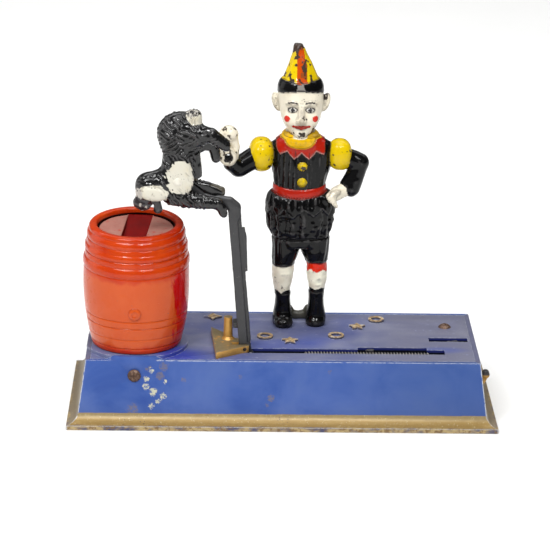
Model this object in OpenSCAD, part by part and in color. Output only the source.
// Mechanical bank: a clown, a dog on a spring arm and a barrel on a six-plate iron base.
// Millimetres, +X right, +Y back, +Z up. The origin is under the middle of the base.

/* [Base] */
// Length over the bottom lip
base_l = 222; // [218:1:228]
// Depth over the bottom lip
base_d = 95.4; // [92:0.2:99]
// Height of the top plate's upper face
base_h = 35; // [35:1:35]
// Thickness of the cast side plates
wall = 2.4; // [2:0.1:3]
// Thickness of the cast top plate
top_t = 3; // [2.8:0.1:3.2]
// How far each side leans out over its height
flare = 3.7; // [3:0.1:4.5]
// How far the hollow moulding stands out past the side
moulding_out = 5.9; // [5:0.1:7]
// Height where the hollow moulding starts
moulding_top = 9; // [8:0.1:10]
// Height of the square lip at the very bottom
lip_h = 2.5; // [2:0.1:3]

/* [Barrel] */
// Barrel centre, left to right
barrel_x = -76; // [-77:0.5:-74]
// Barrel centre, front to back
barrel_y = -13; // [-14:0.5:-12]
// Height of the barrel on its pad
barrel_h = 63; // [60:1:66]
// Largest radius of the barrel's belly
belly_r = 27.4; // [26.5:0.1:27.8]
// Wall of the barrel casting
barrel_wall = 2.5; // [2:0.1:3]
// Width of the coin chute in the barrel head
chute_w = 11; // [10:0.5:12]

/* [Dog and arm] */
// Height of the arm's pivot pin
pivot_z = 36.8; // [36.8:0.1:36.8]
// Radius of the arm's pivot pin
pivot_r = 1; // [0.9:0.05:1.1]
// Thickness of the dog over both halves
dog_t = 14; // [12:0.5:15]

/* [Release lever] */
// Lever pivot, left to right
lever_x = 58; // [56:0.5:60]
// Height of the lever's pivot
lever_z = 12; // [11.5:0.1:12.5]

/* [Clown] */
// Middle of the clown, left to right
clown_x = 8.8; // [8.8:0.1:8.8]
// Plane where the clown's front and back castings meet
clown_y = 20; // [20:0.5:20]
// Radius of the hoop hole through the raised fist
hoop_r = 1.7; // [1.4:0.1:2]
// Length of the hoop hole
hoop_len = 8; // [7:0.5:9]

/* [Hidden] */
$fn = 48;
gap = 0.05;                                    // gap between plates of one body
top_l = base_l - 2 * (flare + moulding_out);   // upper outline of the base
top_d = base_d - 2 * (flare + moulding_out);
plate_l = top_l - 2 * wall - 2 * gap;          // the top plate inside its border
plate_d = top_d - 2 * wall - 2 * gap;
floor_z = 0.8;                                 // underside of the bottom plate
floor_t = 2.5;
rebate_h = floor_z + floor_t + gap;
rebate_out = 2.2;                              // bottom plate reaches under the sides
pad_r = 26.9;                                  // round seat under the barrel
pad_h = 2;
barrel_z = base_h + pad_h;
barrel_top = barrel_z + barrel_h;
coin_hole_r = 11.5;
slot_y0 = -25.5;                               // slot that the arm lies down in
slot_y1 = -18.7;
slot_x0 = -26.6;
slot_x1 = 84;
slot_wide_x = 39;                              // wider part that the catch rises in
slot_wide_y = -15.6;
window = [77, -6, 97.5, 0];                    // opening over the release lever
arm_x = -19.8;                                 // arm pivot
arm_front = -23.1;
arm_back = -19.5;
arm_mid = (arm_front + arm_back) / 2;
spring_x0 = 12;
spring_x1 = 75;
spring_y = -23.35;
spring_z = 32.8;
spring_r = 1.95;
dog_y = -22;
screw_r = 1.6;
screw_pos = [86.9, 16.8];                      // long screw from top to bottom
tie_x = -76.3;                                 // short screws in the front and rear plates
tie_z = 27.2;
door_c = [-30, 10];                            // coin door under the base
door_pin = [-9, 10];
rivet_at = [-54.5, 127.7];                     // rivet through the dog
fist = [-29, 129.8];
post = [-28.4, -14.1];
post_top = 50.8;
shoulder = [-13.6, 14, 127];                   // raised arm of the clown
elbow = [-24.6, 11.4, 122.9];

// ---------------------------------------------------------------- helpers

// Rod of radius r from point a to point b
module rod(a, b, r, r2 = -1) {
    d = b - a;
    length = norm(d);
    translate(a)
        rotate([0, acos(d[2] / length), atan2(d[1], d[0])])
            cylinder(h = length, r1 = r, r2 = r2 < 0 ? r : r2);
}

// Pin along Y from y0 to y1 at [x, z]
module pin_y(at, y0, y1, r) {
    translate([at[0], y0, at[1]]) rotate([-90, 0, 0]) cylinder(h = y1 - y0, r = r);
}

// Flat link in the XZ plane with round ends, between y0 and y1
function half_turn(at, from, r) =
    [for (t = [0:15:180]) at + r * [cos(from + t), sin(from + t)]];
module link_y(a, b, r, y0, y1) {
    lean = atan2(b[1] - a[1], b[0] - a[0]);
    plate_y(concat(half_turn(a, lean + 90, r), half_turn(b, lean - 90, r)), y0, y1);
}

// Plate cut from an outline of [x, z] points, between y0 and y1
module plate_y(points, y0, y1) {
    translate([0, y1, 0]) rotate([90, 0, 0]) linear_extrude(y1 - y0) polygon(points);
}

// Upright block between two corners
module block(a, b) {
    translate(a) cube(b - a);
}

// Domed screw head with its flat side on the XY plane
module dome_head(r, h) {
    sphere_r = (r * r + h * h) / (2 * h);
    intersection() {
        translate([0, 0, h - sphere_r]) sphere(sphere_r);
        cylinder(h = h + 1, r = r + 1);
    }
}

// Ellipse-shaped slice for the figures: centre, half width, half depth
module slice(z, x, y, w, d, h = 0.6) {
    translate([x, y, z]) scale([1, d / w, 1]) cylinder(h = h, r = w, $fn = 28);
}

// Rounded blob between two balls, flattened front to back
module blob(a, ra, b, rb, flat = 1) {
    hull() {
        translate(a) scale([1, flat, 1]) sphere(ra, $fn = 18);
        translate(b) scale([1, flat, 1]) sphere(rb, $fn = 18);
    }
}

// ---------------------------------------------------------------- base plates

// Side profile, measured outward from the upper outline: [out, z]
function cove(t) = [flare + moulding_out * (1 - cos(t)),
                    moulding_top - (moulding_top - lip_h) * sin(t)];
side_profile = concat([[-wall, base_h], [0, base_h]],
    [for (t = [0:15:90]) cove(t)],
    [[flare + moulding_out, 0], [flare + rebate_out, 0], [flare + rebate_out, rebate_h],
     [flare - wall, rebate_h], [flare - wall, moulding_top]]);

// One side plate: length of its upper edge and distance of that edge from the middle.
// Its ends are mitred at 45 degrees.
module side_plate(length, distance) {
    reach = flare + moulding_out + wall + 1;
    intersection() {
        translate([-length, 0, 0]) rotate([90, 0, 90]) linear_extrude(2 * length)
            polygon([for (p = side_profile) [-distance - p[0], p[1]]]);
        linear_extrude(base_h + pad_h + 1)
            polygon([[-length / 2 - reach + gap, -distance - reach],
                     [length / 2 + reach - gap, -distance - reach],
                     [length / 2 - reach - gap, -distance + reach],
                     [-length / 2 + reach + gap, -distance + reach]]);
    }
}

// Lugs under the top plate's edge that it rests on
module rest_lugs(places, distance) {
    for (x = places)
        block([x - 5, -distance + wall - 1.3, base_h - top_t - 3 - gap],
              [x + 5, -distance + wall + 2.2, base_h - top_t - gap]);
}

module barrel_seat() {
    translate([barrel_x, barrel_y, base_h]) cylinder(h = pad_h, r = pad_r);
}

module front_plate() color("royalblue") {
    difference() {
        union() {
            side_plate(top_l, top_d / 2);
            rest_lugs([-40, 30, 90], top_d / 2);
            intersection() {
                barrel_seat();
                block([-top_l / 2 + wall + gap, -top_d / 2, base_h],
                      [0, -top_d / 2 + wall, base_h + pad_h]);
            }
        }
        pin_y([tie_x, tie_z], -60, -30, screw_r + 0.1);
    }
}

module rear_plate() color("royalblue") {
    difference() {
        rotate([0, 0, 180]) {
            side_plate(top_l, top_d / 2);
            rest_lugs([-75, -20, 50], top_d / 2);
        }
        pin_y([tie_x, tie_z], 30, 60, screw_r + 0.1);
    }
}

module left_end_plate() color("darkkhaki") {
    rotate([0, 0, -90]) {
        side_plate(top_d, top_l / 2);
        rest_lugs([0], top_l / 2);
    }
    intersection() {
        barrel_seat();
        block([-top_l / 2, -top_d / 2 + wall + gap, base_h],
              [-top_l / 2 + wall, 10, base_h + pad_h]);
    }
}

module right_end_plate() color("darkkhaki") {
    difference() {
        rotate([0, 0, 90]) {
            side_plate(top_d, top_l / 2);
            rest_lugs([20], top_l / 2);
        }
        block([90, -4.9, 4.6], [120, -1.1, 15.2]);
    }
}

// Raised ornaments on the top plate
module ring_ornament(at, r) {
    translate([at[0], at[1], base_h - 0.5]) difference() {
        cylinder(h = 1.9, r = r);
        translate([0, 0, -1]) cylinder(h = 4, r = r - 1.5);
    }
}

module star_ornament(at, r, points = 5) {
    translate([at[0], at[1], base_h - 0.5]) linear_extrude(1.9)
        polygon([for (i = [0:2 * points - 1])
            let (a = 90 + i * 180 / points, q = i % 2 == 0 ? r : r * 0.5) [q * cos(a), q * sin(a)]]);
}

module ornaments() {
    for (at = [[-9, -2.2], [28.4, -0.4], [50.8, 25.2]]) ring_ornament(at, 4.2);
    for (at = [[4, -8.7], [40.1, 13.8]]) star_ornament(at, 4.6);
    star_ornament([-36.5, 27.3], 5, 4);
}

// Lug under the top plate that a short tie screw enters; side is -1 front, 1 back
module tie_lug(side) {
    y0 = side * plate_d / 2;
    y1 = side * (plate_d / 2 - 7);
    block([tie_x - 4, min(y0, y1), tie_z - 4], [tie_x + 4, max(y0, y1), base_h - top_t + 0.2]);
}

module top_plate() color("slateblue") {
    difference() {
        union() {
            translate([-plate_l / 2, -plate_d / 2, base_h - top_t]) cube([plate_l, plate_d, top_t]);
            intersection() {
                barrel_seat();
                translate([-plate_l / 2, -plate_d / 2, base_h - 1])
                    cube([plate_l, plate_d, pad_h + 1]);
            }
            ornaments();
            for (side = [-1, 1]) tie_lug(side);
            // cheeks that carry the release lever's pin
            for (y = [-7, -1.5])
                block([lever_x - 4, y, lever_z - 4], [lever_x + 4, y + 2.5, base_h - top_t + 0.2]);
            // cheeks that carry the spring's anchor pin
            for (y = [-28.4, -15.4])
                block([spring_x1 + 1.5, y, spring_z - 5.5], [spring_x1 + 7.5, y + 2.6, base_h - 0.4]);
            // sleeve around the long screw
            translate([screw_pos[0], screw_pos[1], base_h - top_t - 4])
                cylinder(h = 5, r = 4);
        }
        translate([barrel_x, barrel_y, base_h - 5]) cylinder(h = 10, r = coin_hole_r);
        for (s = [-1, 1]) translate([barrel_x + s * 17, barrel_y, base_h - 5])
            cylinder(h = 10, r = screw_r + 0.1);
        block([slot_x0, slot_y0, base_h - 5], [slot_x1, slot_y1, base_h + 1]);
        block([slot_wide_x, slot_y1 - 1, base_h - 5], [slot_x1 - 9, slot_wide_y, base_h + 1]);
        block([window[0], window[1], base_h - 5], [window[2], window[3], base_h + 1]);
        translate([screw_pos[0], screw_pos[1], base_h - 10]) cylinder(h = 12, r = screw_r + 0.1);
        translate([-32.5, -24.5, base_h - 5]) cylinder(h = 6, r = screw_r + 0.1);
        for (x = foot_x) translate([x, 22, base_h - 5]) cylinder(h = 6, r = screw_r + 0.1);
        for (side = [-1, 1]) pin_y([tie_x, tie_z], side * 33 - 5, side * 33 + 5, screw_r + 0.1);
        pin_y([lever_x, lever_z], -10, 4, 1.25);
        pin_y([spring_x1 + 4.5, spring_z - 2.2], -30, -12, 1.15);
    }
}

module bottom_plate() color("dimgray") {
    half_x = top_l / 2 + flare + rebate_out - gap;
    half_y = top_d / 2 + flare + rebate_out - gap;
    difference() {
        union() {
            block([-half_x, -half_y, floor_z], [half_x, half_y, floor_z + floor_t]);
            translate([screw_pos[0], screw_pos[1], floor_z]) cylinder(h = 9, r = 4.5);
        }
        translate([screw_pos[0], screw_pos[1], -1]) cylinder(h = 14, r = screw_r + 0.1);
        translate([screw_pos[0], screw_pos[1], -1]) cylinder(h = 5, r = 3.6, $fn = 6);
        translate([door_c[0], door_c[1], -1]) cylinder(h = 6, r = 15);
        translate([door_pin[0], door_pin[1], -1]) cylinder(h = 6, r = 1.55);
    }
}

module coin_door() color("gray") {
    z = floor_z + floor_t + 0.1;
    difference() {
        union() {
            translate([door_c[0], door_c[1], z]) cylinder(h = 1, r = 17);
            translate([door_pin[0], door_pin[1], z]) cylinder(h = 1, r = 6);
            block([door_c[0] + 10, door_c[1] - 6, z], [door_pin[0], door_c[1] + 6, z + 1]);
        }
        translate([door_pin[0], door_pin[1], z - 1]) cylinder(h = 3, r = 1.55);
        translate([door_c[0] - 7, door_c[1], z - 1]) cylinder(h = 3, r = 5);
    }
}

module coin_door_rivet() color("saddlebrown") {
    translate([door_pin[0], door_pin[1], floor_z - 0.1]) cylinder(h = 4.8, r = 1.5);
    translate([door_pin[0], door_pin[1], floor_z + floor_t + 1.2]) dome_head(3, 1.4);
}

// ---------------------------------------------------------------- screws

// Short tie screw in the front (side -1) or rear (side 1) plate
module tie_screw(side) {
    face = top_d / 2 + flare * (base_h - tie_z + 3.5) / (base_h - moulding_top);
    translate([tie_x, side * face, tie_z]) rotate([-90 * side, 0, 0]) {
        translate([0, 0, -8]) cylinder(h = 8.1, r = screw_r);
        difference() {
            dome_head(3.4, 1.8);
            translate([-0.4, -5, 1]) cube([0.8, 10, 2]);
        }
    }
}

module front_screw() color("saddlebrown") tie_screw(-1);
module rear_screw() color("saddlebrown") tie_screw(1);

module long_screw() color("saddlebrown") {
    translate([screw_pos[0], screw_pos[1], floor_z]) cylinder(h = base_h - floor_z, r = screw_r);
    translate([screw_pos[0], screw_pos[1], base_h]) difference() {
        dome_head(3.4, 1.9);
        rotate([0, 0, 25]) translate([-0.4, -5, 1.1]) cube([0.8, 10, 2]);
    }
}

module long_screw_nut() color("saddlebrown") {
    translate([screw_pos[0], screw_pos[1], floor_z + 0.2]) difference() {
        cylinder(h = 2.6, r = 3.3, $fn = 6);
        translate([0, 0, -1]) cylinder(h = 5, r = screw_r);
    }
}

// Screw from under a plate: head below z0, shank up to z1
module under_screw(at, z0, z1) {
    translate([at[0], at[1], z0]) cylinder(h = z1 - z0, r = screw_r);
    translate([at[0], at[1], z0]) mirror([0, 0, 1]) dome_head(3.2, 1.6);
}

module barrel_screw_left() color("saddlebrown")
    under_screw([barrel_x - 17, barrel_y], base_h - top_t, barrel_z + 2.5);
module barrel_screw_right() color("saddlebrown")
    under_screw([barrel_x + 17, barrel_y], base_h - top_t, barrel_z + 2.5);
module stop_bracket_screw() color("saddlebrown")
    under_screw([-32.5, -24.5], base_h - top_t, base_h + 2.6);
module clown_foot_screw_left() color("saddlebrown")
    under_screw([foot_x[0], 22], base_h - top_t, base_h + 3);
module clown_foot_screw_right() color("saddlebrown")
    under_screw([foot_x[1], 22], base_h - top_t, base_h + 3);

// ---------------------------------------------------------------- barrel

// Outer radius of the staves at height z above the seat
function stave_r(z) = belly_r - 4.1 * pow((z - barrel_h * 0.53) / (barrel_h * 0.51), 2);
// Hoop bands cast on the barrel: [lower edge, width, height]
hoops = [[5, 2.2, 0.5], [9.5, 2.6, 0.55], [14.2, 2.2, 0.5],
         [41, 4.2, 0.6], [50, 2.8, 0.55], [56.5, 2.4, 0.5]];
rim_in = 20.1;
head_z = barrel_top - 4.6;

module barrel_half(side) {
    z_step = barrel_h / 12;
    translate([barrel_x, barrel_y + side * gap / 2, barrel_z]) rotate([0, 0, side > 0 ? 0 : 180])
        difference() {
            union() {
                rotate_extrude(angle = 180) polygon(concat(
                    [for (i = [0:12]) [stave_r(i * z_step), i * z_step]],
                    [[rim_in, barrel_h], [rim_in, barrel_h - 4.6 - gap],
                     [rim_in - 1.4, barrel_h - 4.6 - gap], [rim_in - 1.4, barrel_h - 6.5]],
                    [for (i = [10:-1:1]) [stave_r(i * z_step) - barrel_wall, i * z_step]],
                    [[stave_r(0) - barrel_wall, 2.5], [12, 2.5], [12, 0]]));
                for (b = hoops) rotate_extrude(angle = 180) polygon([
                    [stave_r(b[0]) - 1, b[0]], [stave_r(b[0]) - 0.05, b[0]],
                    [stave_r(b[0] + b[1] * 0.3) + b[2], b[0] + b[1] * 0.3],
                    [stave_r(b[0] + b[1] * 0.7) + b[2], b[0] + b[1] * 0.7],
                    [stave_r(b[0] + b[1]) - 0.05, b[0] + b[1]],
                    [stave_r(b[0] + b[1]) - 1, b[0] + b[1]]]);
            }
            for (s = [-1, 1]) translate([s * 17, 0, -1]) cylinder(h = 5, r = screw_r + 0.1);
            pin_y([0, 23.5], 15, 35, screw_r + 0.1);
        }
}

module barrel_front() color("orangered") barrel_half(-1);
module barrel_rear() color("orangered") barrel_half(1);

module barrel_head() color("indianred") {
    translate([barrel_x, barrel_y, head_z]) difference() {
        cylinder(h = 1.8, r = rim_in - gap);
        translate([-chute_w / 2, -17, -1]) cube([chute_w, 34, 4]);
    }
    // side walls of the chute under the head
    for (s = [-1, 1]) translate([barrel_x, barrel_y, head_z])
        translate([s > 0 ? chute_w / 2 : -chute_w / 2 - 1.2, -14, -14]) cube([1.2, 28, 14.2]);
}

module barrel_tie_rivet() color("orangered") {
    reach = stave_r(23.5) + 0.4;
    translate([barrel_x, barrel_y, barrel_z + 23.5]) {
        rotate([90, 0, 0]) translate([0, 0, -reach]) cylinder(h = 2 * reach, r = screw_r);
        for (side = [0, 180]) rotate([90, 0, side]) translate([0, 0, reach - 0.1]) difference() {
            dome_head(3.4, 1.1);
            translate([0, 0, 0.5]) cylinder(h = 2, r = 1.5);
        }
    }
}

// ---------------------------------------------------------------- arm and stop

// Gold bracket: seat, stop post and the two cheeks that carry the arm's pin
module stop_bracket() color("goldenrod") {
    difference() {
        union() {
            translate([0, 0, base_h]) linear_extrude(3.7)
                polygon([[-34.6, -35.3], [-28, -31.2], [-21.5, -26.6], [-18.6, -25.4],
                         [-17.6, -24.2], [-17.6, arm_front - 0.2], [-26.4, arm_front - 0.2],
                         [-26.4, arm_back + 0.2], [-16.8, arm_back + 0.2], [-16.8, -16.8],
                         [-24.6, -13.2], [-30, -5.5], [-37.3, 3.2]]);
            block([-22.6, arm_back + 0.2, base_h + 3], [-17, -16.9, base_h + 5]);
            translate([post[0], post[1], base_h + 3.5])
                cylinder(h = post_top - base_h - 3.5, r1 = 2.45, r2 = 2.2);
            translate([post[0], post[1], base_h + 3.5]) cylinder(h = 1.6, r1 = 3.6, r2 = 2.4);
        }
        pin_y([arm_x, pivot_z], -30, -14, pivot_r + 0.03);
        translate([-32.5, -24.5, base_h - 1]) cylinder(h = 3.8, r = screw_r + 0.1);
    }
}

module arm_pivot_pin() color("dimgray")
    pin_y([arm_x, pivot_z], -25.2, -16.9, pivot_r);

// Outline of the arm's bar; cut is what the front layer leaves off its right edge
function arm_outline(cut) = [[-22.6, 37], [-22.9, 39], [-28.8, 106.5], [-28.4, 112],
    [-24.6 - cut, 112], [-22.5 - cut, 106.5], [-16.6 - cut, 40.8], [-17.6 - cut, 37]];

module dog_arm() color("darkslategray") {
    hook = [arm_x + 3.1, pivot_z - 3.7];
    difference() {
        union() {
            plate_y(arm_outline(1.8), arm_front, arm_mid);
            plate_y(arm_outline(0), arm_mid, arm_back);
            // latch rib and its nib near the upper end
            plate_y([[-21.6, 98], [-19.9, 98.6], [-19.5, 96.5], [-18.7, 78], [-20.4, 77.6]],
                    arm_mid + 0.3, arm_back - 0.1);
            plate_y(nib_outline, arm_mid + 0.2, arm_back + 2.2);
            // eye of the pivot and the lug that the spring pulls
            pin_y([arm_x, pivot_z], arm_front + 0.1, arm_back - 0.1, 3.4);
            link_y([arm_x, pivot_z], hook, 1.9, arm_front + 0.2, arm_back - 0.2);
            // lug that meets the stop post
            block([-26, arm_back - 1, 46.6], [-22.2, -12.6, 49.4]);
            // tongue between the dog's halves
            link_y([-26.6, 111.9], [-42, 118], 2.1, arm_front + 0.6, arm_back - 0.6);
            link_y([-42, 118], rivet_at, 2, arm_front + 0.7, arm_back - 0.7);
            pin_y(rivet_at, arm_front + 0.6, arm_back - 0.6, 3.4);
            pin_y([-26.6, 111.9], arm_front + 0.1, arm_back - 0.1, 3.4);
        }
        pin_y([arm_x, pivot_z], -30, -14, pivot_r + 0.05);
        pin_y(hook, -30, -14, 0.7);
        pin_y(rivet_at, -30, -14, screw_r + 0.1);
    }
}

// Nib that the catch holds when the arm lies down: a block worked out in the
// cocked position and turned back to rest
cock_angle = 94.8;
nib_cocked = [[60.6, -4.75], [63.8, -4.75], [63.8, -3.1], [62.6, -3.1], [61.8, -1.5],
              [60.6, -1.5]];
nib_outline = [for (p = nib_cocked)
    [arm_x + p[0] * cos(cock_angle) - p[1] * sin(cock_angle),
     pivot_z + p[0] * sin(cock_angle) + p[1] * cos(cock_angle)]];

// Coil with its two end wires; the coil lies in the slot
module main_spring() color("silver") {
    turns = 34;
    pitch = (spring_x1 - spring_x0) / turns;
    hook = [arm_x + 3.1, spring_y, pivot_z - 3.7];
    start = [spring_x0, spring_y, spring_z];
    stop = [spring_x1, spring_y, spring_z - 1.2];
    lean = stop - start;
    translate(start) rotate([0, 90 - atan2(lean[2], lean[0]), 0]) {
        cylinder(h = norm(lean), r = spring_r - 0.6);
        for (i = [0:turns - 1]) translate([0, 0, (i + 0.2) * pitch])
            cylinder(h = pitch * 0.6, r = spring_r);
    }
    rod(hook + [0, -0.2, 0], start, 0.45);
    rod(stop, [spring_x1 + 3.2, spring_y, spring_z - 1.9], 0.45);
}

module spring_anchor_pin() color("dimgray")
    pin_y([spring_x1 + 4.5, spring_z - 2.2], -28.4, -12.8, 1.1);

// ---------------------------------------------------------------- dog

module dog_body() {
    y = dog_y;
    flat = 0.74;
    // trunk from chest to curly rump
    blob([-53, y, 152], 9, [-54, y, 130], 9.2, flat);
    blob([-57.5, y, 152.5], 8, [-50, y, 155.5], 6.6, flat);
    blob([-46.6, y, 158.4], 4.4, [-50, y, 155], 5, flat);
    blob([-54, y, 124], 9.4, [-61, y, 124], 7.4, flat);
    // hind legs
    blob([-48, y - 2.6, 150.5], 6.4, [-40.5, y - 3, 151.6], 4.8, 0.6);
    blob([-40.5, y - 3, 151.6], 4.4, [-30.6, y - 3.2, 146.4], 3, 0.8);
    blob([-46, y + 2.6, 147], 5.4, [-37.4, y + 3, 143.4], 3.4, 0.7);
    blob([-37.4, y + 3, 143.4], 3, [-35, y + 3, 138.2], 2.5, 0.9);
    // front legs
    blob([-57, y - 2, 118.6], 5.2, [-44, y - 2.6, 116], 3.9, 0.8);
    blob([-44, y - 2.6, 116], 3.8, [-31.4, y - 2.6, 110.8], 3, 0.8);
    blob([-50, y + 2.6, 123], 5, [-31.6, y + 2.6, 119.8], 2.6, 0.8);
    // neck, head, muzzle and lower jaw
    blob([-61, y, 124], 7.2, [-69.4, y, 123], 6.8, 0.78);
    blob([-70.5, y, 121], 5.6, [-74.2, y, 114.6], 3.6, 0.8);
    blob([-66, y, 116], 3.2, [-65.4, y, 111], 2.1, 0.9);
    // hanging ears
    blob([-66.8, y - 4.6, 123.4], 3, [-68, y - 5.2, 118.6], 4.2, 0.4);
    blob([-66.8, y + 4.6, 123.4], 3, [-68, y + 5.2, 118.6], 4.2, 0.4);
}

// One half of the dog, with room for the arm's tongue; side -1 is nearer the front
module dog_half(side) {
    mid = dog_y + 0.6;
    difference() {
        intersection() {
            dog_body();
            block([-90, side < 0 ? -60 : mid + gap, 90], [-20, side < 0 ? mid : 20, 180]);
        }
        room = 0.15;
        link_y([-26.6, 111.9], [-42, 118], 2.1 + room, arm_front + 0.45, arm_back - 0.45);
        link_y([-42, 118], rivet_at, 2.1 + room, arm_front + 0.45, arm_back - 0.45);
        pin_y(rivet_at, arm_front + 0.45, arm_back - 0.45, 3.4 + room);
        pin_y([-26.6, 111.9], arm_front - 0.15, arm_back + 0.15, 3.4 + room);
        pin_y(rivet_at, -60, 20, screw_r + 0.15);
    }
}

module dog_near_half() color("darkslategray") dog_half(-1);
module dog_far_half() color("dimgray") dog_half(1);

module dog_rivet() color("gainsboro") {
    pin_y(rivet_at, dog_y - dog_t / 2, dog_y + dog_t / 2, screw_r);
    for (side = [0, 180]) translate([rivet_at[0], dog_y, rivet_at[1]]) rotate([90, 0, side])
        translate([0, 0, dog_t / 2 - 0.02]) dome_head(2.6, 1);
}

// ---------------------------------------------------------------- release lever

module release_lever() color("olive") {
    difference() {
        union() {
            // bar and the thumb piece outside the end plate
            plate_y([[44.6, lever_z - 2], [105.4, lever_z - 2], [107.4, lever_z - 1],
                     [108.6, lever_z + 1.6], [109, lever_z + 4], [106.4, lever_z + 4.4],
                     [105.4, lever_z + 1.9], [104, lever_z + 1.2], [96, lever_z + 2.2],
                     [44.6, lever_z + 2.2]], -4.2, -1.8);
            pin_y([107.8, lever_z + 4.1], -5, -1, 2.1);
            pin_y([lever_x, lever_z], -4.4, -1.6, 4);
            // crossbar, upright and catch nose
            block([44.8, -18.9, lever_z - 1.8], [47.8, -3.9, lever_z + 2]);
            plate_y([[44.6, lever_z - 2], [47.4, lever_z - 2], [47.4, base_h - 0.1],
                     [44.2, base_h - 0.1], [42.9, 33.9], [44.6, 33.9]], -19.2, -17.1);
            // finger seen in the window of the top plate
            translate([0, 0, lever_z]) linear_extrude(base_h - 0.6 - lever_z)
                polygon([[86, -4.6], [88.6, -4.9], [92.6, -1.4], [90, -1.1]]);
        }
        pin_y([lever_x, lever_z], -10, 4, 1.25);
    }
}

module lever_pivot_pin() color("dimgray")
    pin_y([lever_x, lever_z], -7, 1, 1.2);

module lever_return_spring() color("silver") {
    foot = floor_z + floor_t;
    turns = 5;
    pitch = (lever_z - 2 - foot) / turns;
    translate([80, -3, foot]) for (i = [0:turns - 1]) translate([0, 0, i * pitch]) {
        cylinder(h = pitch, r = 1.7);
        translate([0, 0, pitch * 0.25]) cylinder(h = pitch * 0.5, r = 2.4);
    }
}

// ---------------------------------------------------------------- clown

foot_x = [0.4, 18];

module clown_torso() {
    x = clown_x;
    y = clown_y;
    // bodice
    hull() {
        slice(137, x, y, 8.5, 6.4);
        slice(133.5, x, y, 16.2, 7.6);
        slice(121, x, y, 14.7, 8.8);
        slice(110, x - 0.4, y, 13.1, 8.2);
    }
    // belt
    slice(106, x - 0.4, y, 14, 9.2, 4.6);
    // peplum and pleated shorts
    hull() {
        slice(106, x, y, 13.6, 8.8);
        slice(101, x, y, 17.8, 11);
        slice(90, x, y, 17, 10.8);
        slice(78, x, y, 15.6, 10);
    }
    // collar
    hull() {
        slice(134.5, x, y - 0.6, 10.8, 9);
        slice(139.4, x, y, 7.8, 7.2);
    }
}

module clown_leg(side) {
    x = clown_x;
    hip = x + side * 8.2;
    foot = side < 0 ? foot_x[0] : foot_x[1];
    toe_y = side < 0 ? 15.6 : 18.2;
    // breeches, sock, boot
    hull() {
        slice(80, hip, clown_y, 7.4, 8.4);
        slice(68.6, foot + side * 0.2, clown_y, 6.3, 7);
    }
    hull() {
        slice(69, foot, clown_y, 4.6, 5);
        slice(52, foot, clown_y, 4, 4.6);
    }
    hull() {
        slice(52, foot, clown_y, 4.3, 4.9);
        slice(40, foot, clown_y + 0.6, 3.9, 5);
    }
    hull() {
        slice(40.5, foot, clown_y + 0.6, 3.9, 5);
        slice(base_h, foot, clown_y + 1, 4.2, 5.4);
        slice(base_h, foot + side * 0.3, toe_y, 4.7, 4.4);
        slice(base_h + 3, foot + side * 0.3, toe_y + 0.6, 3.9, 3.6);
    }
}

module clown_head() {
    x = clown_x - 0.6;
    y = clown_y;
    hull() {
        slice(138.6, x, y - 1, 4.6, 5);
        slice(145, x, y - 0.6, 8.8, 8.6);
        slice(154, x, y, 10.9, 10);
        slice(162, x, y, 11.6, 10.4);
        slice(166.6, x, y, 10.2, 9.4);
    }
    for (s = [-1, 1]) blob([x + s * 13, y + 0.6, 157.4], 2.6, [x + s * 11.6, y + 0.6, 153], 1.9, 0.8);
    hull() {
        slice(165.8, x - 0.2, y, 10.4, 9.8);
        slice(187.4, x - 1.4, y + 1, 1.6, 1.6);
    }
}

module clown_left_arm() {
    blob([27, 20, 129.5], 7.4, [29.2, 20, 127], 7, 1);
    blob([31, 20, 127], 5.2, [38.6, 20.6, 122.4], 4.8, 1);
    blob([38.6, 20.6, 122.4], 4.7, [32, 18, 112.4], 3.9, 1);
    blob([31, 17.6, 111.6], 4, [25, 15.6, 106.6], 4, 0.9);
    blob([-9.6, 19.6, 129.8], 7, [-12, 19, 128.4], 7.2, 1);
}

module clown_cavity() {
    hull() {
        slice(131, clown_x, clown_y, 11.6, 5);
        slice(112, clown_x, clown_y, 10, 5.4);
    }
    hull() {
        slice(108, clown_x, clown_y, 10, 5.4);
        slice(84, clown_x, clown_y, 12.6, 7.4);
    }
}

module clown_body() {
    clown_torso();
    for (side = [-1, 1]) clown_leg(side);
    clown_head();
    clown_left_arm();
}

// Rivets that hold the clown's castings together: [x, z] each
clown_rivets = [[8.8, 110], [8.8, 151]];

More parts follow.
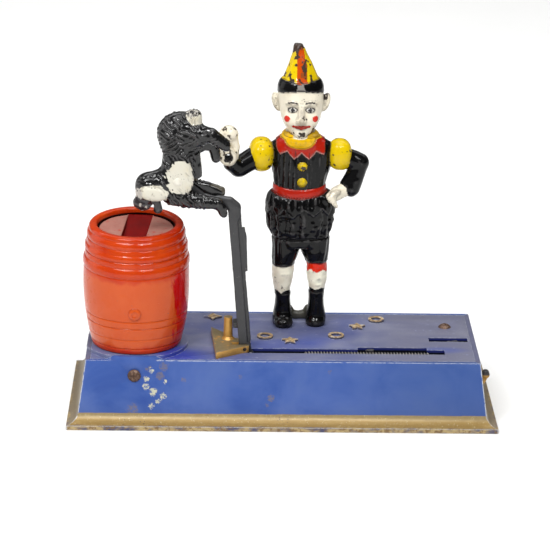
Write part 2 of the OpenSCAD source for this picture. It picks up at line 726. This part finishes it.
module clown_half(side) {
    difference() {
        intersection() {
            clown_body();
            block([-40, side < 0 ? -10 : clown_y + gap, base_h], [60, side < 0 ? clown_y : 50, 200]);
        }
        clown_cavity();
        // seat for the shoulder of the separate arm
        pin_y([-14, 127], 9, 19, 3.2);
        rod(shoulder + 0.02 * (shoulder - elbow), elbow, 4.9, 4.5);
        for (x = foot_x) translate([x, 22, base_h - 1]) cylinder(h = 4.5, r = screw_r + 0.15);
        for (p = clown_rivets) pin_y(p, clown_y - 5.5, 40, screw_r + 0.15);
    }
}

module clown_front() color("gold") clown_half(-1);
module clown_back() color("darkslategray") clown_half(1);

module clown_rivet(at, back) {
    pin_y(at, clown_y - 5.3, back, screw_r);
    translate([at[0], back, at[1]]) rotate([-90, 0, 0]) dome_head(2.8, 1.2);
}

module clown_upper_rivet() color("dimgray") clown_rivet(clown_rivets[1], 30.4);
module clown_lower_rivet() color("dimgray") clown_rivet(clown_rivets[0], 29.6);

// Raised arm: shoulder peg, elbow, fist with the hoop hole and the ball above it
module clown_right_arm() color("darkslategray") {
    wrist = [-28.6, 8, 127.6];
    difference() {
        union() {
            pin_y([-14, 127], 9.2, 18.8, 3);
            rod(shoulder, elbow, 4.7, 4.3);
            translate(elbow) sphere(4.35);
            rod(elbow, wrist, 4.1, 3.7);
            pin_y(fist, 8 - hoop_len / 2, 8 + hoop_len / 2, 4.7);
            translate([-29, 8, 143.2]) sphere(4.5);
            rod([-26.2, 8, 131.6], [-25.9, 8, 141.4], 1.9);
        }
        pin_y(fist, -5, 25, hoop_r);
    }
}

module foot_bridge() color("darkolivegreen")
    difference() {
        block([foot_x[0] + 4.9, 27, base_h], [foot_x[1] - 4.9, 31, base_h + 5.4]);
        pin_y([(foot_x[0] + foot_x[1]) / 2, base_h + 6.6], 20, 40, 3.4);
    }

// ---------------------------------------------------------------- output

top_plate();
front_plate();
rear_plate();
left_end_plate();
right_end_plate();
bottom_plate();
coin_door();
coin_door_rivet();
front_screw();
rear_screw();
long_screw();
long_screw_nut();
barrel_front();
barrel_rear();
barrel_head();
barrel_tie_rivet();
barrel_screw_left();
barrel_screw_right();
stop_bracket();
stop_bracket_screw();
arm_pivot_pin();
dog_arm();
dog_near_half();
dog_far_half();
dog_rivet();
main_spring();
spring_anchor_pin();
release_lever();
lever_pivot_pin();
lever_return_spring();
clown_front();
clown_back();
clown_right_arm();
clown_upper_rivet();
clown_lower_rivet();
clown_foot_screw_left();
clown_foot_screw_right();
foot_bridge();
